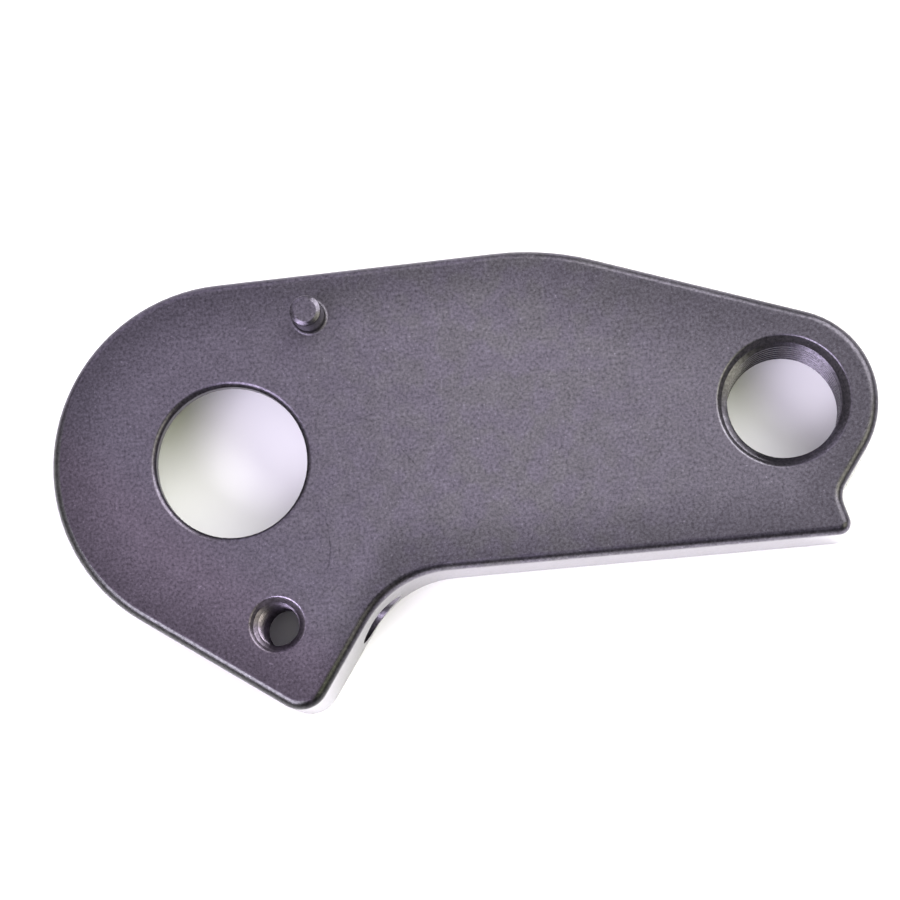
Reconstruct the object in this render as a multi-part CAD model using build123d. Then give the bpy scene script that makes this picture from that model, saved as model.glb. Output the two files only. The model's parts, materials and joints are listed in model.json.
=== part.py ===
from build123d import *

import os
from math import cos, radians, sin

# A replaceable derailleur hanger for a through-axle frame, milled from one aluminium plate.
# The origin is the axle's centre on the face that bears on the frame.
# X runs from the axle to the derailleur thread, and Z points out of the frame-side face.
# Sizes are in millimetres and angles in degrees.

# Plate
PLATE_THICKNESS = 8.0
EDGE_ROUND = 0.8
BACK_EDGE_BREAK = 0.3

# Axle end: a round end and a plain bore for a 12 mm axle, both centred on the axle
END_RADIUS = 14.6
AXLE_BORE_RADIUS = 6.1
AXLE_BORE_CHAMFER = 0.3

# Wheel side of the axle end: a seat for the hub's end cap, with a thin web left round the axle bore
SEAT_RADIUS = 9.8
SEAT_WEB_LEFT = 1.6

# Derailleur boss: tapping hole of an M10 x 1 thread, in a rounded end of its own
THREAD_SPAN = 44.4
THREAD_MINOR_RADIUS = 4.5
THREAD_CHAMFER = 0.8
BOSS_RADIUS = 7.5

# Straight edges of the outline: the angle of each outward normal, and its reach where no round end sets it
TOP_NORMAL = 90.0
FLANK_NORMAL = 234.0
TAIL_NORMAL = -35.4
TAIL_REACH = 15.9
UNDERSIDE_NORMAL = -91.0
UNDERSIDE_REACH = 11.0
TOOTH_NORMAL = 15.0
TOOTH_FORWARD = 4.45
NECK_NORMAL = -36.4
SLOPE_NORMAL = 69.5

# Corner radii where those edges meet
TIP_RADIUS = 2.3
CROOK_RADIUS = 8.3
TOOTH_RADIUS = 0.95
NOTCH_RADIUS = 1.95
HUMP_RADIUS = 22.0

# Fixing screw: tapping hole of an M4 thread, set in from the two faces of the tail
FIXING_MINOR_RADIUS = 1.65
FIXING_COUNTERSINK = 0.6
FIXING_BACK_CHAMFER = 0.3
FIXING_FLANK_INSET = 5.2
FIXING_TAIL_INSET = 6.1

# Lock screw: tapping hole of an M4 x 0.5 thread, drilled along the arm from the crook into the fixing hole
LOCK_MINOR_RADIUS = 1.75
LOCK_DEPTH = 5.6

# Locating pin on the frame-side face, set in from the top edge
PIN_RADIUS = 1.25
PIN_HEIGHT = 3.1
PIN_TIP_CHAMFER = 0.35
PIN_ROOT_FILLET = 0.3
PIN_FORWARD = 7.4
PIN_TOP_INSET = 3.6

# How far a cutter runs past the face that it breaks through
OVERCUT = 1.0

AXLE = Vector(0, 0)
THREAD = Vector(THREAD_SPAN, 0)


def straight_edge(centre, normal_angle, reach):
    """Line square to a normal at this angle, at this reach from a centre."""
    normal = Vector(cos(radians(normal_angle)), sin(radians(normal_angle)))
    return Axis(centre + normal * reach, normal.cross(Vector(0, 0, 1)))


def outline_edges():
    """The outline's straight edges by name, anticlockwise from the top."""
    underside = straight_edge(THREAD, UNDERSIDE_NORMAL, UNDERSIDE_REACH)
    tooth_corner = underside & Axis(THREAD + Vector(TOOTH_FORWARD, 0), (0, 1, 0))
    return {
        "top": straight_edge(AXLE, TOP_NORMAL, END_RADIUS),
        "flank": straight_edge(AXLE, FLANK_NORMAL, END_RADIUS),
        "tail": straight_edge(AXLE, TAIL_NORMAL, TAIL_REACH),
        "underside": underside,
        "tooth": straight_edge(tooth_corner, TOOTH_NORMAL, 0),
        "neck": straight_edge(THREAD, NECK_NORMAL, BOSS_RADIUS),
        "slope": straight_edge(THREAD, SLOPE_NORMAL, BOSS_RADIUS),
    }


def outline_face():
    """Flat outline of the plate: straight edges joined by tangent arcs."""
    edge = outline_edges()
    corner_radii = {
        ("top", "flank"): END_RADIUS,
        ("flank", "tail"): TIP_RADIUS,
        ("tail", "underside"): CROOK_RADIUS,
        ("underside", "tooth"): TOOTH_RADIUS,
        ("tooth", "neck"): NOTCH_RADIUS,
        ("neck", "slope"): BOSS_RADIUS,
        ("slope", "top"): HUMP_RADIUS,
    }
    corners = [edge[first] & edge[second] for first, second in corner_radii]
    return make_face(FilletPolyline(corners, radius=corner_radii.values(), close=True))


def rounded_plate():
    """The plate below the frame-side face, rounded over in front and broken at the back."""
    plate = extrude(outline_face(), amount=PLATE_THICKNESS, dir=(0, 0, -1))
    front_edges = plate.faces().sort_by(Axis.Z)[-1].edges()
    plate = fillet(front_edges, EDGE_ROUND)
    back_edges = plate.faces().sort_by(Axis.Z)[0].edges()
    return chamfer(back_edges, BACK_EDGE_BREAK)


def hole_cutter(radius, depth, front_chamfer, back_chamfer):
    """Cutter for a hole from the frame-side face down to a depth, with a chamfer at each mouth."""
    front_mouth = radius + front_chamfer + OVERCUT
    back_mouth = radius + back_chamfer + OVERCUT
    profile = Polyline(
        (0, OVERCUT),
        (front_mouth, OVERCUT),
        (radius, -front_chamfer),
        (radius, back_chamfer - depth),
        (back_mouth, -depth - OVERCUT),
        (0, -depth - OVERCUT),
        close=True,
    )
    return revolve(Plane.XZ * make_face(profile), Axis.Z)


def hub_seat():
    """Round seat about the axle, cut from the wheel side until only its web is left."""
    depth = PLATE_THICKNESS - SEAT_WEB_LEFT + OVERCUT
    top_centred = (Align.CENTER, Align.CENTER, Align.MAX)
    return Pos(0, 0, -SEAT_WEB_LEFT) * Cylinder(SEAT_RADIUS, depth, align=top_centred)


def fixing_centre():
    """Centre of the fixing screw, the set insets in from the flank and the tail face."""
    beside_flank = straight_edge(AXLE, FLANK_NORMAL, END_RADIUS - FIXING_FLANK_INSET)
    beside_tail = straight_edge(AXLE, TAIL_NORMAL, TAIL_REACH - FIXING_TAIL_INSET)
    return beside_flank & beside_tail


def lock_hole():
    """Cutter for the lock screw's hole, from the fixing screw's axis out through the crook."""
    edge = outline_edges()
    crook_corner = edge["tail"] & edge["underside"]
    start = fixing_centre()
    reach = crook_corner.X - start.X + CROOK_RADIUS
    drill = Cylinder(LOCK_MINOR_RADIUS, reach, align=(Align.CENTER, Align.CENTER, Align.MIN))
    along_arm = Rot(0, 90, 0)
    return Pos(start.X, start.Y, -LOCK_DEPTH) * along_arm * drill


def with_locating_pin(plate):
    """The plate with its locating pin, chamfered at the tip and filleted at the root."""
    shank = Cylinder(PIN_RADIUS, PIN_HEIGHT + OVERCUT)
    shank = chamfer(shank.edges().sort_by(Axis.Z)[-1], PIN_TIP_CHAMFER)
    foot = Vector(PIN_FORWARD, END_RADIUS - PIN_TOP_INSET)
    middle = (PIN_HEIGHT - OVERCUT) / 2
    plate += Pos(foot.X, foot.Y, middle) * shank
    root = plate.edges().filter_by(GeomType.CIRCLE).sort_by_distance(foot)[0]
    return fillet(root, PIN_ROOT_FILLET)


def derailleur_hanger():
    """The finished hanger as one solid."""
    hanger = rounded_plate()
    hanger -= hub_seat()
    hanger -= hole_cutter(AXLE_BORE_RADIUS, SEAT_WEB_LEFT, AXLE_BORE_CHAMFER, AXLE_BORE_CHAMFER)
    thread_hole = hole_cutter(THREAD_MINOR_RADIUS, PLATE_THICKNESS, THREAD_CHAMFER, THREAD_CHAMFER)
    hanger -= Pos(THREAD) * thread_hole
    fixing_hole = hole_cutter(
        FIXING_MINOR_RADIUS, PLATE_THICKNESS, FIXING_COUNTERSINK, FIXING_BACK_CHAMFER
    )
    hanger -= Pos(fixing_centre()) * fixing_hole
    hanger -= lock_hole()
    return with_locating_pin(hanger)


os.makedirs("parts", exist_ok=True)
export_step(derailleur_hanger(), "parts/derailleur_hanger.step")
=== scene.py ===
import json
import logging
import math
from collections.abc import Mapping
from dataclasses import dataclass, field
from enum import Enum
from typing import Any

import bpy
from mathutils import Matrix, Vector


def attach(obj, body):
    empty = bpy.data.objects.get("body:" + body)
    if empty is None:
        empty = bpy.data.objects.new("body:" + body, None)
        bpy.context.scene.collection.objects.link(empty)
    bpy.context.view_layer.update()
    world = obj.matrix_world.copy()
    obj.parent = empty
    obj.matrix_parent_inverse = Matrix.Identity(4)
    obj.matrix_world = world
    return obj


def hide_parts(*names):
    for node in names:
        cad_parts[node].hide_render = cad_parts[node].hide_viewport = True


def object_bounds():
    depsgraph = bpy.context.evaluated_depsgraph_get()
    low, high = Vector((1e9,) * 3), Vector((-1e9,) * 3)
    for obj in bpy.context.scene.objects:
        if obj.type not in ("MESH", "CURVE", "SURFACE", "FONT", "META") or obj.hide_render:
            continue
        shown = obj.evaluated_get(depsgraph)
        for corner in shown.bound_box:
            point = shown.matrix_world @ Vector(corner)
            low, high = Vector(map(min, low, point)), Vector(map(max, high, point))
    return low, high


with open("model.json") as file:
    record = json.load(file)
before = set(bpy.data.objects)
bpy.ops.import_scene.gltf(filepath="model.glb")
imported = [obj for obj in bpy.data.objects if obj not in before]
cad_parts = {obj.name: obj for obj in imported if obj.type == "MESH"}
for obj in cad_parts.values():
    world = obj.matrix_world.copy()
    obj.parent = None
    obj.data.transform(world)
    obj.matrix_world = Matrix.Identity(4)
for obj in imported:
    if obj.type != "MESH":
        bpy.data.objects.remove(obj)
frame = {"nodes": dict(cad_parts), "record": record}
CAD_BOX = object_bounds()

LOG = logging.getLogger("hanger_scene")
MM = 0.001
QUARTER_TURN = 90.0
UP = Vector((0, 0, 1))
PICTURE_TOP = Vector((0, 1, 0))
PLATE_NODE = "derailleur_hanger"
PLATE_BODY = "root"

Colour = tuple[float, float, float]
Point = tuple[float, float]
Span = tuple[float, float]


def mount(name: str) -> Mapping[str, Any]:
    """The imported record's mount of this name."""
    return next(entry for entry in frame["record"]["mounts"] if entry["name"] == name)


class Signal:
    """A shader value on which Python arithmetic adds Math nodes."""

    def __init__(self, graph: "ShaderGraph", socket: bpy.types.NodeSocket) -> None:
        """Keeps the socket and the graph that its Math nodes go into."""
        self.graph = graph
        self.socket = socket

    def math(self, operation: str, *others: "Signal | float") -> "Signal":
        """Adds one Math node with this value first.

        Args:
            operation: The Math node's operation.
            others: The values that follow this one.

        Returns:
            The node's value.
        """
        sockets = dict(enumerate((self, *others)))
        return self.graph.node("ShaderNodeMath", {"operation": operation}, sockets)

    def __add__(self, other: "Signal | float") -> "Signal":
        """This plus other."""
        return self.math("ADD", other)

    def __sub__(self, other: "Signal | float") -> "Signal":
        """This less other."""
        return self.math("SUBTRACT", other)

    def __rsub__(self, other: float) -> "Signal":
        """Other less this."""
        return self.graph.node("ShaderNodeMath", {"operation": "SUBTRACT"}, {0: other, 1: self})

    def __mul__(self, other: "Signal | float") -> "Signal":
        """This times other."""
        return self.math("MULTIPLY", other)

    def __truediv__(self, other: "Signal | float") -> "Signal":
        """This over other."""
        return self.math("DIVIDE", other)

    __radd__ = __add__
    __rmul__ = __mul__

    def least(self, other: "Signal | float") -> "Signal":
        """The smaller of this and other."""
        return self.math("MINIMUM", other)

    def most(self, other: "Signal | float") -> "Signal":
        """The larger of this and other."""
        return self.math("MAXIMUM", other)

    def with_leg(self, other: "Signal") -> "Signal":
        """The long side of a right triangle whose legs are this and other."""
        return (self * self + other * other).math("SQRT")

    def between(self, start: "Signal | float", end: "Signal | float") -> "Signal":
        """Runs from start where this is 0 to end where it is 1."""
        return start + self * (end - start)

    def fade(self, start: float, end: float) -> "Signal":
        """Runs smoothly from 0 where this is start to 1 where it is end.

        Args:
            start: The value at which the fade begins.
            end: The value at which it is complete.

        Returns:
            The fade, from 0 to 1.
        """
        settings = {"interpolation_type": "SMOOTHSTEP"}
        sockets = {"Value": self, "From Min": start, "From Max": end}
        return self.graph.node("ShaderNodeMapRange", settings, sockets)


class ShaderGraph:
    """The nodes of one material or of the world."""

    # Numbers of the sockets that a Mix node uses for colours
    MIX_FACTOR, MIX_FIRST, MIX_SECOND, MIX_RESULT = 0, 6, 7, 2

    def __init__(self, owner: bpy.types.Material | bpy.types.World) -> None:
        """Starts with an empty node tree.

        Args:
            owner: The material or world that the nodes belong to.
        """
        owner.use_nodes = True
        self.tree = owner.node_tree
        self.tree.nodes.clear()

    def node(
        self,
        kind: str,
        settings: Mapping[str, Any],
        sockets: Mapping[int | str, Any],
        output: int | str | None = 0,
    ) -> Signal | None:
        """Adds one node.

        Args:
            kind: The node's type.
            settings: Its properties, set first.
            sockets: A value or a signal for each named or numbered input.
            output: The output to hand back, or None for a node that has none.

        Returns:
            That output as a signal.
        """
        made = self.tree.nodes.new(kind)
        for name, value in settings.items():
            setattr(made, name, value)
        for key, value in sockets.items():
            if isinstance(value, Signal):
                self.tree.links.new(value.socket, made.inputs[key])
            else:
                made.inputs[key].default_value = value
        return None if output is None else Signal(self, made.outputs[output])

    def mix(
        self,
        factor: Signal | float,
        first: Signal | Colour,
        second: Signal | Colour,
        blend: str = "MIX",
    ) -> Signal:
        """Mixes two colours.

        Args:
            factor: The share of the second colour.
            first: The colour at 0.
            second: The colour at 1.
            blend: The way of mixing.

        Returns:
            The mixed colour.
        """
        sockets = {
            self.MIX_FACTOR: factor,
            self.MIX_FIRST: first if isinstance(first, Signal) else (*first, 1.0),
            self.MIX_SECOND: second if isinstance(second, Signal) else (*second, 1.0),
        }
        settings = {"data_type": "RGBA", "blend_type": blend}
        return self.node("ShaderNodeMix", settings, sockets, self.MIX_RESULT)

    def shade(self, colour: Signal, level: Signal) -> Signal:
        """A colour made lighter or darker by a level."""
        grey = self.node("ShaderNodeCombineColor", {}, {0: level, 1: level, 2: level})
        return self.mix(1.0, colour, grey, "MULTIPLY")

    def place(self) -> Signal:
        """The point on the piece, in metres in the part's frame."""
        return self.node("ShaderNodeTexCoord", {}, {}, "Object")

    def axes(self, vector: Signal) -> tuple[Signal, ...]:
        """A place's three components in millimetres."""
        outputs = self.node("ShaderNodeSeparateXYZ", {}, {0: vector}).socket.node.outputs
        return tuple(Signal(self, output) / MM for output in outputs)

    def dot(self, vector: Signal, way: Vector) -> Signal:
        """How far a direction points along a fixed way."""
        settings = {"operation": "DOT_PRODUCT"}
        return self.node("ShaderNodeVectorMath", settings, {0: vector, 1: way}, "Value")

    def noise(self, vector: Signal, size: float, detail: float = 2.0, roughness: float = 0.5) -> Signal:
        """Cloudy noise.

        Args:
            vector: Where the noise is read.
            size: About how far apart its clouds are, in millimetres.
            detail: How many finer layers it has.
            roughness: How strong those layers are.

        Returns:
            The noise, about 0.5 on average.
        """
        scale = 1 / (size * MM)
        sockets = {"Vector": vector, "Scale": scale, "Detail": detail, "Roughness": roughness}
        return self.node("ShaderNodeTexNoise", {}, sockets)

    def surface(self, sockets: Mapping[str, Any]) -> None:
        """Ends a material with one Principled shader."""
        shader = self.node("ShaderNodeBsdfPrincipled", {}, sockets)
        self.node("ShaderNodeOutputMaterial", {}, {"Surface": shader}, None)


def along(x: Signal, y: Signal, angle: float) -> Signal:
    """How far a place lies in a direction, given in degrees from X."""
    turn = math.radians(angle)
    return x * math.cos(turn) + y * math.sin(turn)


@dataclass(frozen=True)
class PlateShape:
    """The plate's outline as its finish needs it, in millimetres and degrees."""

    top_normal: float = 90.0
    flank_normal: float = 234.0
    slope_normal: float = 69.5
    tail_normal: float = -35.4
    tail_reach: float = 15.9
    underside_normal: float = -91.0
    underside_reach: float = 11.0
    slope_share: float = 0.7
    tail_share: float = 2.0

    def past_tail(self, x: Signal, y: Signal) -> Signal:
        """How far a place lies beyond the tail's edge."""
        return along(x, y, self.tail_normal) - self.tail_reach

    def past_underside(self, x: Signal, y: Signal) -> Signal:
        """How far a place lies beyond the arm's lower edge."""
        return along(x - self._span(), y, self.underside_normal) - self.underside_reach

    def edge_distance(self, x: Signal, y: Signal) -> Signal:
        """How far in a place lies from the outline, counted as less by the slope and more by the tail.

        Args:
            x: The place along the plate.
            y: The place across it.

        Returns:
            The distance, in millimetres.
        """
        end_radius = -CAD_BOX[0].x / MM
        boss_radius = CAD_BOX[1].x / MM - self._span()
        ahead = x - self._span()
        slope = self._rounded_edge(ahead, y, self.slope_normal, -QUARTER_TURN, boss_radius)
        corner = (self.past_tail(x, y) * -self.tail_share).most(self.past_underside(x, y) * -1)
        nearest = corner.least(slope * self.slope_share)
        for normal, turn in ((self.top_normal, QUARTER_TURN), (self.flank_normal, -QUARTER_TURN)):
            nearest = nearest.least(self._rounded_edge(x, y, normal, turn, end_radius))
        return nearest

    @staticmethod
    def _span() -> float:
        """How far the derailleur's thread lies from the axle."""
        return mount("derailleur_thread")["pos_m"][0] / MM

    @staticmethod
    def _rounded_edge(x: Signal, y: Signal, normal: float, turn: float, radius: float) -> Signal:
        """Distance from a straight edge that runs into an arc.

        Args:
            x: The place along the plate, from the arc's centre.
            y: The place across it, from the arc's centre.
            normal: The angle of the edge's outward normal.
            turn: The angle from that normal to the side that the arc lies on.
            radius: The arc's radius.

        Returns:
            The distance in from the edge and its arc.
        """
        outward = along(x, y, normal).most(0.0)
        sideways = along(x, y, normal + turn).most(0.0)
        return radius - outward.with_leg(sideways)


@dataclass(frozen=True)
class Hairline:
    """A fine scratch along a few points of the face, in millimetres; a depth below 0 is bright."""

    points: tuple[Point, ...]
    depth: float
    half_width: float = 0.1

    def mask(self, x: Signal, y: Signal) -> Signal:
        """Where the scratch is.

        Args:
            x: The place along the plate.
            y: The place across it.

        Returns:
            Its depth on the scratch, and 0 away from it.
        """
        nearest = None
        for start, end in zip(self.points, self.points[1:]):
            distance = self._from_segment(x, y, start, end)
            nearest = distance if nearest is None else nearest.least(distance)
        return nearest.fade(self.half_width, 0.0) * self.depth

    @staticmethod
    def _from_segment(x: Signal, y: Signal, start: Point, end: Point) -> Signal:
        """Distance from one straight stretch.

        Args:
            x: The place along the plate.
            y: The place across it.
            start: The stretch's first point.
            end: The stretch's last point.

        Returns:
            The distance, in millimetres.
        """
        run, rise = end[0] - start[0], end[1] - start[1]
        across, up = x - start[0], y - start[1]
        share = ((across * run + up * rise) / (run * run + rise * rise)).most(0.0).least(1.0)
        return (across - share * run).with_leg(up - share * rise)


@dataclass(frozen=True)
class SurfacePlace:
    """What the finish reads at a place on the plate.

    Attributes:
        point: The place, in metres.
        x: How far along the plate it lies, in millimetres.
        y: How far across the plate, in millimetres.
        z: How far above the frame-side face, in millimetres.
        inset: How far in from the outline, in millimetres.
        outer: The share of the outer edge and wall, 0 farther in.
        below: The share of what lies below the frame-side face, 0 on it.
        rim: The same share with the pin's side and cone added.
        lock: The share of the lock screw's hole, 0 outside it.
        grain: The blasted grain's pattern, about 0.5 on average.
    """

    point: Signal
    x: Signal
    y: Signal
    z: Signal
    inset: Signal
    outer: Signal
    below: Signal
    rim: Signal
    lock: Signal
    grain: Signal


@dataclass(frozen=True)
class Dye:
    """Colours of the anodising and where they change over, in millimetres and degrees."""

    arm: Colour = (0.098, 0.09, 0.111)
    arm_patch: Colour = (0.096, 0.091, 0.1025)
    boss: Colour = (0.089, 0.083, 0.0995)
    axle_end: Colour = (0.074, 0.0665, 0.0855)
    flank: Colour = (0.078, 0.066, 0.0855)
    flank_rim: Colour = (0.08, 0.08, 0.082)
    patch_size: float = 2.2
    patch_edge: Span = (0.4, 0.6)
    boss_span: Span = (22.0, 44.0)
    axle_end_span: Span = (25.0, -5.0)
    flank_direction: float = 225.0
    flank_span: Span = (4.0, 9.0)
    flank_rim_depths: Span = (-0.9, -0.6)

    def colour(self, graph: ShaderGraph, place: SurfacePlace) -> Signal:
        """The dye's colour, greyer in patches and more purple at the axle end and by the flank.

        Args:
            graph: The material's nodes.
            place: The place to colour.

        Returns:
            The colour before it is made lighter or darker.
        """
        patches = graph.noise(place.point, self.patch_size).fade(*self.patch_edge)
        colour = graph.mix(patches, self.arm, self.arm_patch)
        colour = graph.mix(place.x.fade(*self.boss_span), colour, self.boss)
        colour = graph.mix(place.x.fade(*self.axle_end_span), colour, self.axle_end)
        upper_rim = place.rim * place.z.fade(*self.flank_rim_depths) * place.outer
        flank = graph.mix(upper_rim, self.flank, self.flank_rim)
        by_flank = along(place.x, place.y, self.flank_direction).fade(*self.flank_span)
        return graph.mix(by_flank, colour, flank)


@dataclass(frozen=True)
class BlastedGrain:
    """Unevenness that bead blasting leaves in the dye and in the surface; lengths in millimetres."""

    size: float = 0.24
    detail: float = 3.0
    roughness: float = 0.65
    levels: Span = (0.0, 2.0)
    cloud_size: float = 1.5
    cloud_levels: Span = (0.82, 1.18)
    fleck_size: float = 0.2
    fleck_detail: float = 1.0
    light_band: Span = (0.68, 0.78)
    light_fleck: float = 0.7
    dark_band: Span = (0.36, 0.24)
    dark_fleck: float = 0.25
    relief_strength: float = 0.2
    relief_height: float = 0.01

    def pattern(self, graph: ShaderGraph, point: Signal) -> Signal:
        """The grain's own pattern, about 0.5 on average."""
        return graph.noise(point, self.size, self.detail, self.roughness)

    def level(self, graph: ShaderGraph, place: SurfacePlace) -> Signal:
        """How light grain, clouds and flecks make a place.

        Args:
            graph: The material's nodes.
            place: The place to read.

        Returns:
            A factor of about 1 on average.
        """
        cloud = graph.noise(place.point, self.cloud_size)
        fleck = graph.noise(place.point, self.fleck_size, self.fleck_detail)
        light = fleck.fade(*self.light_band) * self.light_fleck
        dark = fleck.fade(*self.dark_band) * self.dark_fleck
        clouded = place.grain.between(*self.levels) * cloud.between(*self.cloud_levels)
        return clouded * (1 + light - dark)

    def normal(self, graph: ShaderGraph, place: SurfacePlace) -> Signal:
        """The surface's direction, tilted by the grain's relief.

        Args:
            graph: The material's nodes.
            place: The place to read.

        Returns:
            The direction.
        """
        relief = {
            "Strength": self.relief_strength,
            "Distance": self.relief_height * MM,
            "Height": place.grain,
        }
        return graph.node("ShaderNodeBump", {}, relief)


@dataclass(frozen=True)
class PaintedRimLight:
    """Painted light and shade on the rims and walls, from place to place, in millimetres and degrees."""

    arm_level: float = 0.8
    boss_painted_shade: float = 0.56
    boss_span: Span = (39.0, 44.0)
    edge_band: Span = (-1.2, -0.8)
    crook_span: Span = (10.0, 13.0)
    tail_painted_shade: float = 0.45
    underside_levels: Span = (0.5, 1.2)
    underside_depths: Span = (-0.05, -0.25)
    bore_painted_light: float = 0.9
    fixing_painted_light: float = 2.2
    fixing_reach: Span = (2.7, 2.4)
    fixing_direction: float = 45.0
    fixing_span: Span = (-0.5, 0.8)
    fixing_depths: Span = (-0.6, -1.2)
    lock_painted_light: float = 2.2

    def level(self, shape: PlateShape, place: SurfacePlace) -> Signal:
        """How light a rim or a wall is painted: painted shade along the tail and the boss, painted light
        in the holes.

        Args:
            shape: The plate's outline.
            place: The place to read.

        Returns:
            The level, as a share of the face's.
        """
        past_crook = place.x.fade(*self.crook_span)
        tail = shape.past_tail(place.x, place.y).fade(*self.edge_band) * (1 - past_crook)
        underside = shape.past_underside(place.x, place.y).fade(*self.edge_band) * past_crook
        underside_level = place.z.fade(*self.underside_depths).between(*self.underside_levels)
        bore = (1 - place.outer) * place.below
        level = place.x.fade(*self.boss_span).between(self.arm_level, self.boss_painted_shade)
        # Painted shade dims the highlights along the tail and the boss; painted light brightens the
        # holes' walls.
        level = tail.between(level, self.tail_painted_shade)
        level = underside.between(level, underside_level)
        level = bore.between(level, self._painted_bore_light(place))
        return place.lock.between(level, self.lock_painted_light)

    def _painted_bore_light(self, place: SurfacePlace) -> Signal:
        """Painted light in the holes, with the fixing hole painted lighter at its upper right and lower
        down.

        Args:
            place: The place to read.

        Returns:
            The level, as a share of the face's.
        """
        fixing_x, fixing_y, _ = (length / MM for length in mount("fixing_thread")["pos_m"])
        across, up = place.x - fixing_x, place.y - fixing_y
        upper_right = along(across, up, self.fixing_direction).fade(*self.fixing_span)
        lower_down = place.z.fade(*self.fixing_depths)
        fixing = across.with_leg(up).fade(*self.fixing_reach) * upper_right.most(lower_down)
        return fixing.between(self.bore_painted_light, self.fixing_painted_light)


@dataclass(frozen=True)
class AnodisedFinish:
    """Bead-blasted, dark anodised aluminium with painted light and shade; lengths in millimetres."""

    shape: PlateShape = PlateShape()
    dye: Dye = Dye()
    grain: BlastedGrain = BlastedGrain()
    # Painted light and shade on the rims and walls.
    rims: PaintedRimLight = PaintedRimLight()
    # Painted shade: the face is darker by its outline.
    edge_painted_shade: float = 0.6
    edge_reach: float = 6.0
    face_roughness: Span = (0.4, 0.52)
    rim_roughness: float = 0.32
    rim_depths: Span = (-0.003, -0.02)
    wall_depths: Span = (-0.3, -0.8)
    wall_reach: Span = (1.4, 0.9)
    wall_sheen: float = 0.7
    lock_sheen: float = 0.2
    lock_gap: Span = (0.06, 0.02)
    sheen_roughness: float = 0.15
    sheen_index: float = 1.5
    pin_foot: Span = (0.5, 1.0)
    pin_shoulder: Span = (2.95, 2.6)
    pin_top: Span = (3.098, 3.085)
    hairlines: tuple[Hairline, ...] = (
        Hairline(((5.15, -4.6), (6.6, -4.7), (7.1, -5.2), (7.25, -6.0), (7.3, -6.9)), 0.22),
        Hairline(((7.3, -6.9), (7.3, -7.8), (7.15, -8.7), (6.95, -9.35)), 0.32),
        Hairline(((1.65, -6.5), (1.6, -7.3), (1.3, -7.7), (1.3, -8.2)), 0.2),
        Hairline(((13.75, -0.5), (14.7, -1.8)), 0.28),
        Hairline(((14.2, -3.8), (14.5, -4.5)), 0.2),
        Hairline(((8.9, 1.9), (12.2, 2.7)), 0.12),
        Hairline(((17.3, 3.1), (17.5, 4.7)), -0.25),
        Hairline(((-3.5, -9.8), (-3.3, -9.7)), -0.6),
        Hairline(((1.6, -16.4), (1.8, -16.5)), -0.6),
        Hairline(((31.3, 12.1), (31.6, 12.0)), -0.4),
    )

    def material(self) -> bpy.types.Material:
        """Builds the material.

        Returns:
            The plate's material.
        """
        material = bpy.data.materials.new("dark_anodised_aluminium")
        graph = ShaderGraph(material)
        place = self._place(graph)
        face_roughness = place.grain.between(*self.face_roughness)
        sockets = {
            "Base Color": graph.shade(self.dye.colour(graph, place), self._level(graph, place)),
            "Metallic": 1.0,
            "Roughness": place.rim.between(face_roughness, self.rim_roughness),
            "Coat Weight": self._sheen(place),
            "Coat Roughness": self.sheen_roughness,
            "Coat IOR": self.sheen_index,
            "Normal": self.grain.normal(graph, place),
        }
        graph.surface(sockets)
        return material

    def _place(self, graph: ShaderGraph) -> SurfacePlace:
        """Reads the place on the plate that is being shaded.

        Args:
            graph: The material's nodes.

        Returns:
            The place, with what its finish goes by.
        """
        point = graph.place()
        x, y, z = graph.axes(point)
        inset = self.shape.edge_distance(x, y)
        below = z.fade(*self.rim_depths)
        return SurfacePlace(
            point=point,
            x=x,
            y=y,
            z=z,
            inset=inset,
            outer=inset.fade(*self.wall_reach),
            below=below,
            rim=below.most(z.fade(*self.pin_foot) * z.fade(*self.pin_top)),
            lock=self._lock_share(x, y, z),
            grain=self.grain.pattern(graph, point),
        )

    def _lock_share(self, x: Signal, y: Signal, z: Signal) -> Signal:
        """Rises from 0 to 1 in the lock screw's hole.

        Args:
            x: The place along the plate.
            y: The place across it.
            z: The place above the frame-side face.

        Returns:
            The share.
        """
        lock = mount("lock_thread")
        radius, length = lock["dims"]["r_mm"], lock["dims"]["length_mm"]
        lock_x, lock_y, lock_z = (coordinate / MM for coordinate in lock["pos_m"])
        start = lock_x - length / 2
        from_axis = (y - lock_y).with_leg(z - lock_z)
        return (from_axis - radius).fade(*self.lock_gap).least(x.fade(start - radius, start))

    def _level(self, graph: ShaderGraph, place: SurfacePlace) -> Signal:
        """How light the surface is: painted shade by its edges, painted light and shade on rims and
        walls, then grain and scratches.

        Args:
            graph: The material's nodes.
            place: The place to read.

        Returns:
            The factor for the dye's colour.
        """
        # Painted shade darkens the face by its edges.
        level = place.inset.fade(0.0, self.edge_reach).between(self.edge_painted_shade, 1.0)
        # Painted light and shade on the rims and walls.
        level = place.rim.between(level, self.rims.level(self.shape, place))
        level = level * self.grain.level(graph, place)
        for hairline in self.hairlines:
            level = level * (1 - hairline.mask(place.x, place.y))
        return level

    def _sheen(self, place: SurfacePlace) -> Signal:
        """How much the sealed surface shines: on the outer walls and the pin's side.

        Args:
            place: The place to read.

        Returns:
            The share of the sheen, less in the lock screw's hole.
        """
        wall_sheen = place.lock.between(self.wall_sheen, self.lock_sheen)
        walls = place.z.fade(*self.wall_depths) * place.outer * wall_sheen
        pin_side = place.z.fade(*self.pin_foot) * place.z.fade(*self.pin_shoulder)
        return walls.most(pin_side)


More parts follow.
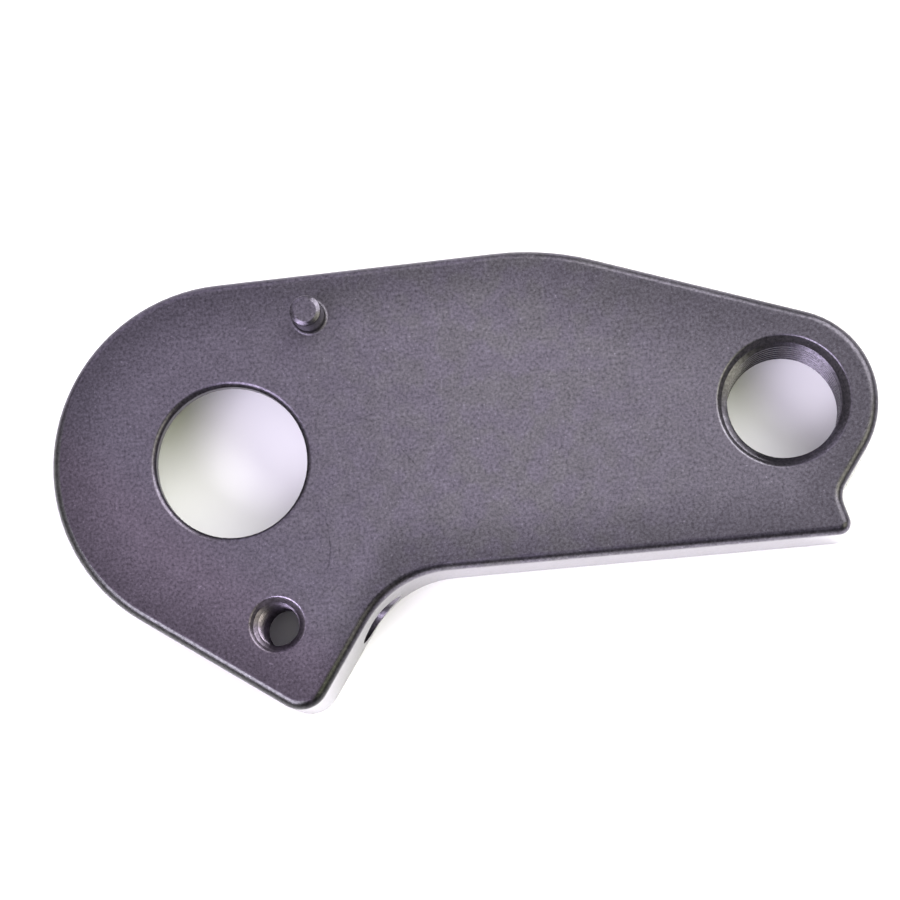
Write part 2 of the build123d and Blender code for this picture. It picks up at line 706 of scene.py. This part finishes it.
@dataclass(frozen=True)
class FloorFinish:
    """Matt white floor under the part; lengths in millimetres."""

    colour: Colour = (0.86, 0.86, 0.87)
    cloud_size: float = 120.0
    cloud_share: float = 0.985
    roughness: float = 0.9

    def material(self) -> bpy.types.Material:
        """Builds the material.

        Returns:
            The floor's material.
        """
        material = bpy.data.materials.new("studio_floor")
        graph = ShaderGraph(material)
        cloud = graph.noise(graph.place(), self.cloud_size)
        dull = tuple(self.cloud_share * channel for channel in self.colour)
        colour = graph.mix(cloud, self.colour, dull)
        graph.surface({"Base Color": colour, "Roughness": self.roughness})
        return material


def only_selected(piece: bpy.types.Object) -> None:
    """Selects one object and nothing else.

    Args:
        piece: The object to select.
    """
    bpy.ops.object.select_all(action="DESELECT")
    piece.select_set(True)
    bpy.context.view_layer.objects.active = piece


def apply_modifier(piece: bpy.types.Object, kind: str, settings: Mapping[str, Any]) -> None:
    """Adds a modifier to a piece and applies it.

    Args:
        piece: The object to change.
        kind: The modifier's type.
        settings: Its properties.
    """
    only_selected(piece)
    modifier = piece.modifiers.new(kind.lower(), kind)
    for name, value in settings.items():
        setattr(modifier, name, value)
    bpy.ops.object.modifier_apply(modifier=modifier.name)


@dataclass(frozen=True)
class TappedThread:
    """A metric thread in one of the plate's tapping holes, in millimetres and turns.

    The turns past the hole's ends are below 0 where the thread stops short of them.
    """

    hole: str
    pitch: float
    turns_below: int
    turns_above: int
    steps: int = 64
    depth_share: float = 0.5
    crest_share: float = 0.27
    root_share: float = 0.13
    reach_in: float = 0.08
    lift: float = 0.0

    def cutter(self) -> bpy.types.Object:
        """Sweeps the thread's groove along its helix.

        Returns:
            A closed helical solid that stands where the groove is cut.
        """
        hole = mount(self.hole)
        length = hole["dims"]["length_mm"]
        turns = math.ceil(length / self.pitch) + self.turns_below + self.turns_above
        bpy.ops.object.select_all(action="DESELECT")
        bpy.ops.mesh.primitive_plane_add(size=1)
        cutter = bpy.context.object
        cutter.name = f"{self.hole}_cutter"
        section = self._section(hole["dims"]["r_mm"])
        for index, (radius, height) in zip(cutter.data.polygons[0].vertices, section):
            cutter.data.vertices[index].co = Vector((radius, 0.0, height)) * MM
        sweep = {
            "axis": "Z",
            "steps": self.steps,
            "render_steps": self.steps,
            "iterations": turns,
            "screw_offset": self.pitch * MM,
            "use_merge_vertices": False,
        }
        apply_modifier(cutter, "SCREW", sweep)
        bpy.ops.object.mode_set(mode="EDIT")
        bpy.ops.mesh.select_all(action="SELECT")
        bpy.ops.mesh.fill_holes(sides=len(section))
        bpy.ops.mesh.select_all(action="SELECT")
        bpy.ops.mesh.normals_make_consistent(inside=False)
        bpy.ops.object.mode_set(mode="OBJECT")
        axis = Vector(hole["axis"])
        drop = length / 2 + self.turns_below * self.pitch - self.lift
        foot = Vector(hole["pos_m"]) - axis * drop * MM
        stand = UP.rotation_difference(axis).to_matrix().to_4x4()
        cutter.data.transform(Matrix.Translation(foot) @ stand)
        return cutter

    def _section(self, crest: float) -> tuple[Point, ...]:
        """The groove's section, from just inside the hole's wall outwards.

        Args:
            crest: The hole's radius, which the thread's crests keep.

        Returns:
            The section's corners as radius and height.
        """
        depth = self.depth_share * self.pitch
        half_crest = (1 - self.crest_share) * self.pitch / 2
        half_root = self.root_share * self.pitch / 2
        inner = crest - self.reach_in
        half_inner = half_crest + self.reach_in * (half_crest - half_root) / depth
        root = crest + depth
        return (inner, -half_inner), (root, -half_root), (root, half_root), (inner, half_inner)


@dataclass(frozen=True)
class Rim:
    """A sharp round edge about a mount's axis, in millimetres."""

    about: str
    radius_step: float
    height: float
    round_over: float = 0.12
    slack: float = 0.02

    def vertices(self, mesh: bpy.types.Mesh) -> set[int]:
        """Finds the vertices that lie on the rim.

        Args:
            mesh: The plate's mesh.

        Returns:
            Their indices.
        """
        entry = mount(self.about)
        centre = Vector(entry["pos_m"][:2]) / MM
        radius = entry["dims"]["r_mm"] + self.radius_step
        found = set()
        for vertex in mesh.vertices:
            away = abs((vertex.co.xy / MM - centre).length - radius)
            if max(away, abs(vertex.co.z / MM - self.height)) < self.slack:
                found.add(vertex.index)
        return found


@dataclass
class HangerPlate:
    """The hanger: one milled plate with a locating pin, an axle hole and three tapped holes.

    Lengths are in millimetres and angles in degrees.
    """

    finish: AnodisedFinish = field(default_factory=AnodisedFinish)
    threads: tuple[TappedThread, ...] = (
        TappedThread("derailleur_thread", pitch=1.0, turns_below=2, turns_above=2, steps=96, lift=0.27),
        TappedThread("fixing_thread", pitch=0.7, turns_below=2, turns_above=2),
        TappedThread("lock_thread", pitch=0.5, turns_below=-2, turns_above=-8),
    )
    pin_top: float = CAD_BOX[1].z / MM
    pin_cone: float = 0.35
    pin_cone_share: float = 0.45
    pin_slack: float = 0.02
    pin_round: float = 0.05
    rims: tuple[Rim, ...] = (
        Rim("axle_bore", radius_step=0.3, height=0.0, round_over=0.18),
        Rim("axle_bore", radius_step=0.0, height=-0.3),
        Rim("derailleur_thread", radius_step=0.8, height=0.0),
        Rim("fixing_thread", radius_step=0.6, height=0.0),
        Rim("locating_pin", radius_step=-pin_cone, height=pin_top, round_over=pin_round),
        Rim(
            "locating_pin",
            radius_step=0.0,
            height=pin_top - pin_cone * pin_cone_share,
            round_over=pin_round,
        ),
    )
    rim_steps: int = 4
    weld: float = 0.001
    flat_angle: float = 0.2
    crease_angle: float = 30.0
    face_weight: int = 100

    def build(self) -> bpy.types.Object:
        """Copies the plate's solid, breaks its rims, cuts its threads and dresses it.

        Returns:
            The finished piece.
        """
        plate = self._solid()
        self._flatten_pin_tip(plate)
        self._round_rims(plate)
        for thread in self.threads:
            self._tap(plate, thread)
        self._smooth(plate)
        plate.data.materials.clear()
        plate.data.materials.append(self.finish.material())
        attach(plate, PLATE_BODY)
        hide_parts(PLATE_NODE)
        return plate

    def _solid(self) -> bpy.types.Object:
        """Copies the plate's solid, merged and with its flat faces whole.

        Returns:
            The new piece.
        """
        node = frame["nodes"][PLATE_NODE]
        plate = bpy.data.objects.new("hanger_plate", node.data.copy())
        bpy.context.collection.objects.link(plate)
        only_selected(plate)
        bpy.ops.object.mode_set(mode="EDIT")
        bpy.ops.mesh.customdata_custom_splitnormals_clear()
        bpy.ops.mesh.select_all(action="SELECT")
        bpy.ops.mesh.remove_doubles(threshold=self.weld * MM)
        bpy.ops.mesh.dissolve_limited(angle_limit=math.radians(self.flat_angle))
        bpy.ops.object.mode_set(mode="OBJECT")
        return plate

    @staticmethod
    def _select(plate: bpy.types.Object, chosen: set[int]) -> None:
        """Enters edit mode with only the edges between some vertices selected.

        Args:
            plate: The piece to edit.
            chosen: The vertices' indices.
        """
        bpy.ops.object.mode_set(mode="EDIT")
        bpy.ops.mesh.select_mode(type="EDGE")
        bpy.ops.mesh.select_all(action="DESELECT")
        bpy.ops.object.mode_set(mode="OBJECT")
        for edge in plate.data.edges:
            edge.select = chosen.issuperset(edge.vertices)
        bpy.ops.object.mode_set(mode="EDIT")

    def _flatten_pin_tip(self, plate: bpy.types.Object) -> None:
        """Makes the cone of the pin's tip flatter, down from its top.

        Args:
            plate: The piece to edit.
        """
        top = self.pin_top * MM
        foot = top - (self.pin_cone + self.pin_slack) * MM
        self._select(plate, {vertex.index for vertex in plate.data.vertices if vertex.co.z > foot})
        bpy.ops.transform.resize(value=(1, 1, self.pin_cone_share), center_override=(0, 0, top))
        bpy.ops.object.mode_set(mode="OBJECT")

    def _round_rims(self, plate: bpy.types.Object) -> None:
        """Rounds over the rims of the holes and of the pin's tip.

        Args:
            plate: The piece to edit.
        """
        for rim in self.rims:
            self._select(plate, rim.vertices(plate.data))
            bpy.ops.mesh.bevel(offset=rim.round_over * MM, segments=self.rim_steps, affect="EDGES")
            bpy.ops.object.mode_set(mode="OBJECT")

    @staticmethod
    def _tap(plate: bpy.types.Object, thread: TappedThread) -> None:
        """Cuts one thread's groove into its hole.

        Args:
            plate: The piece to cut.
            thread: The thread.
        """
        cutter = thread.cutter()
        settings = {"operation": "DIFFERENCE", "solver": "EXACT", "object": cutter}
        apply_modifier(plate, "BOOLEAN", settings)
        bpy.data.objects.remove(cutter)

    def _smooth(self, plate: bpy.types.Object) -> None:
        """Shades round faces smooth, and keeps flat ones flat.

        Args:
            plate: The piece to shade.
        """
        only_selected(plate)
        bpy.ops.object.shade_smooth_by_angle(angle=math.radians(self.crease_angle))
        apply_modifier(plate, "WEIGHTED_NORMAL", {"keep_sharp": True, "weight": self.face_weight})


class LampTint(Enum):
    """Colour of a studio lamp's light."""

    WHITE = (1.0, 1.0, 0.98)
    YELLOW = (0.97, 1.0, 0.7)
    COOL = (0.89, 0.825, 1.0)
    LAVENDER = (0.92, 0.86, 1.0)


@dataclass(frozen=True)
class SoftBox:
    """One square studio light, placed by its direction from the part, in metres and degrees."""

    name: str
    tint: LampTint
    azimuth: float
    elevation: float
    floor_level: float
    side: float
    distance: float = 2.5

    def build(self, aim: Vector, floor_colour: Colour) -> bpy.types.Object:
        """Hangs the light, as strong as the floor's level asks.

        Args:
            aim: The point that it faces.
            floor_colour: The colour of the floor that it lights.

        Returns:
            The light object.
        """
        turn, rise = math.radians(self.azimuth), math.radians(self.elevation)
        outward = math.cos(rise)
        towards = Vector((math.cos(turn) * outward, math.sin(turn) * outward, math.sin(rise)))
        floor_share = towards.z * min(floor_colour)
        light = bpy.data.lights.new(self.name, "AREA")
        light.shape = "SQUARE"
        light.size = self.side
        light.energy = self.floor_level * (math.pi * self.distance) ** 2 / floor_share
        light.color = self.tint.value
        lamp = bpy.data.objects.new(self.name, light)
        bpy.context.collection.objects.link(lamp)
        lamp.location = aim + towards * self.distance
        lamp.rotation_euler = towards.to_track_quat("Z", "Y").to_euler()
        lamp.visible_camera = False
        return lamp


@dataclass
class Studio:
    """White floor, soft lights and the camera above the plate.

    Lengths are in metres, angles in degrees and the lens in millimetres.
    """

    floor_finish: FloorFinish = field(default_factory=FloorFinish)
    floor_side: float = 12.0
    boxes: tuple[SoftBox, ...] = (
        SoftBox("right_box", LampTint.WHITE, azimuth=40, elevation=40, floor_level=0.98, side=2.0),
        SoftBox("left_box", LampTint.COOL, azimuth=226, elevation=52, floor_level=0.82, side=1.4),
        SoftBox("front_box", LampTint.YELLOW, azimuth=-18, elevation=42, floor_level=0.28, side=1.4),
        SoftBox("overhead_box", LampTint.LAVENDER, azimuth=125, elevation=68, floor_level=0.36, side=3.2),
        SoftBox("back_panel", LampTint.COOL, azimuth=115, elevation=22, floor_level=0.12, side=2.2),
    )
    room_level: float = 0.6
    room_tint: Colour = (1.0, 0.97, 0.95)
    room_front: Vector = field(default_factory=lambda: Vector((0.5, -0.87, 0.0)))
    front_gloom: float = 0.85
    gloom_spread: Span = (-0.1, 0.6)
    gloom_heights: Span = (0.15, 0.45)
    backdrop_level: float = 0.9
    backdrop_tint: Colour = (1.0, 1.0, 1.0)
    camera_place: Vector = field(default_factory=lambda: Vector((32.4, -34.3, 240.0)) * MM)
    camera_aim: Vector = field(default_factory=lambda: Vector((17.6, -1.0, 0.0)) * MM)
    camera_roll: float = 5.833
    near_limit: float = 0.01
    lens: float = 121.7

    def build(self) -> None:
        """Sets up the floor, the lights, the room and the camera."""
        self._floor()
        for box in self.boxes:
            box.build(self.camera_aim, self.floor_finish.colour)
        self._room()
        self._camera()
        bpy.context.scene.view_settings.view_transform = "Standard"

    def _floor(self) -> None:
        """Lays the floor under the part."""
        bpy.ops.object.select_all(action="DESELECT")
        bpy.ops.mesh.primitive_plane_add(size=self.floor_side)
        floor = bpy.context.object
        floor.name = "studio_floor"
        floor.data.transform(Matrix.Translation((0, 0, CAD_BOX[0].z)))
        floor.data.materials.append(self.floor_finish.material())

    def _room(self) -> None:
        """Fills the room with soft light, dimmer high in front, and sets a pale backdrop."""
        world = bpy.data.worlds.new("studio_room")
        bpy.context.scene.world = world
        graph = ShaderGraph(world)
        seen = graph.node("ShaderNodeLightPath", {}, {}, "Is Camera Ray")
        towards = graph.node("ShaderNodeTexCoord", {}, {}, "Generated")
        in_front = graph.dot(towards, self.room_front).fade(*self.gloom_spread)
        high = graph.dot(towards, UP).fade(*self.gloom_heights)
        light = self.room_level * (1 - in_front * high * self.front_gloom)
        sockets = {
            "Color": graph.mix(seen, self.room_tint, self.backdrop_tint),
            "Strength": seen.between(light, self.backdrop_level),
        }
        backdrop = graph.node("ShaderNodeBackground", {}, sockets)
        graph.node("ShaderNodeOutputWorld", {}, {"Surface": backdrop}, None)

    def _camera(self) -> None:
        """Places the camera where the photograph was taken from."""
        camera = bpy.data.objects.new("camera", bpy.data.cameras.new("camera"))
        bpy.context.collection.objects.link(camera)
        camera.data.lens = self.lens
        camera.data.clip_start = self.near_limit
        camera.location = self.camera_place
        view = (self.camera_aim - self.camera_place).normalized()
        right = view.cross(PICTURE_TOP).normalized()
        level = Matrix((right, right.cross(view), -view)).transposed().to_4x4()
        roll = Matrix.Rotation(math.radians(self.camera_roll), 4, view)
        camera.rotation_euler = (roll @ level).to_euler()
        bpy.context.scene.camera = camera


def main() -> None:
    """Builds the hanger and the studio, and logs the plate's number of faces."""
    logging.basicConfig(level=logging.INFO, format="%(name)s: %(message)s")
    plate = HangerPlate().build()
    LOG.info("%s: %d faces", plate.name, len(plate.data.polygons))
    Studio().build()


if __name__ == "__main__":
    main()
